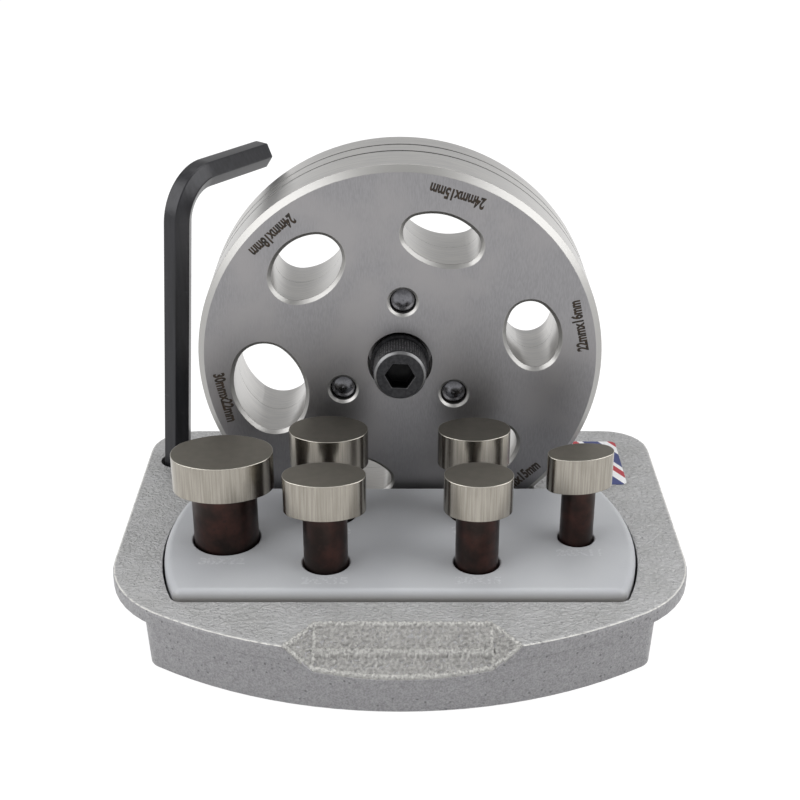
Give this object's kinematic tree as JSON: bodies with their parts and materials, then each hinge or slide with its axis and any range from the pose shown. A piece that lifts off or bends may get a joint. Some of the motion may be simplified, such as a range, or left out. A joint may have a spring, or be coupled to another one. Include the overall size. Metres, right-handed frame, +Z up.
{
  "type": "oval disc cutter",
  "caption": "Jewellers' disc cutter: a clamped stack of steel plates with oval openings, loose oval punches in a block, a hex key and a cast bench stand.",
  "frame": {"origin": "bench level under the middle of the stand's footprint", "axes": "+Z up, the bowed front of the stand faces -Y, +X to the right as seen from the front"},
  "size_m": [0.17, 0.1476, 0.128],
  "materials": {
    "hammertone_iron": "silver-grey hammertone paint over sand-cast iron, with pores on its walls",
    "label_film": "printed white film",
    "grey_resin": "smooth pale grey, satin",
    "tool_steel": "ground bright heads, dark heat-treated shanks",
    "ground_plate": "turned and ground, bright chamfers, dark laser-marked sizes",
    "black_steel": "black oxide, lightly oiled",
    "black_oxide_key": "black oxide on drawn hexagonal steel"
  },
  "bodies": {
    "stand": {"stand_casting": "hammertone_iron", "stand_label": "label_film"},
    "block": {"punch_block": "grey_resin"},
    "punch_a": {"punch_30x22": "tool_steel"},
    "punch_b": {"punch_24x18": "tool_steel"},
    "punch_c": {"punch_24x15": "tool_steel"},
    "punch_d": {"punch_22x16": "tool_steel"},
    "punch_e": {"punch_20x15": "tool_steel"},
    "punch_f": {"punch_20x11": "tool_steel"},
    "back": {"back_plate": "ground_plate", "guide_pin_top": "black_steel", "guide_pin_left": "black_steel", "guide_pin_right": "black_steel"},
    "middle": {"middle_plate": "ground_plate"},
    "front": {"front_plate": "ground_plate"},
    "washer": {"screw_washer": "black_steel"},
    "screw": {"clamp_screw": "black_steel"},
    "key": {"hex_key": "black_oxide_key"}
  },
  "joints": [
    {"name": "block_lift", "type": "slide", "parent": "stand", "child": "block", "axis": [0, 0, 1], "range_m": [0, 0.02]},
    {"name": "punch_30x22_lift", "type": "slide", "parent": "block", "child": "punch_a", "axis": [0, 0, 1], "range_m": [0, 0.03]},
    {"name": "punch_24x18_lift", "type": "slide", "parent": "block", "child": "punch_b", "axis": [0, 0, 1], "range_m": [0, 0.03]},
    {"name": "punch_24x15_lift", "type": "slide", "parent": "block", "child": "punch_c", "axis": [0, 0, 1], "range_m": [0, 0.03]},
    {"name": "punch_22x16_lift", "type": "slide", "parent": "block", "child": "punch_d", "axis": [0, 0, 1], "range_m": [0, 0.03]},
    {"name": "punch_20x15_lift", "type": "slide", "parent": "block", "child": "punch_e", "axis": [0, 0, 1], "range_m": [0, 0.03]},
    {"name": "punch_20x11_lift", "type": "slide", "parent": "block", "child": "punch_f", "axis": [0, 0, 1], "range_m": [0, 0.03]},
    {"name": "disc_lift", "type": "slide", "parent": "stand", "child": "back", "axis": [0, 0, 1], "range_m": [0, 0.02]},
    {"name": "middle_plate_open", "type": "slide", "parent": "back", "child": "middle", "axis": [0, -1, 0], "range_m": [0, 0.001]},
    {"name": "front_plate_open", "type": "slide", "parent": "middle", "child": "front", "axis": [0, -1, 0], "range_m": [0, 0.001]},
    {"name": "screw_travel", "type": "slide", "parent": "back", "child": "washer", "axis": [0, -1, 0], "range_m": [-0.00375, 0.0015]},
    {"name": "screw_turn", "type": "hinge", "parent": "washer", "child": "screw", "pos_m": [0, 0.0232, 0.0654], "axis": [0, -1, 0], "range_deg": [-920, 380]},
    {"name": "key_lift", "type": "slide", "parent": "stand", "child": "key", "axis": [0.068, 0, 0.9977], "range_m": [0, 0.02]}
  ],
  "couplings": [
    {"joint": "screw_turn", "follows": "screw_travel", "rad_per_m": 4188.8}
  ]
}
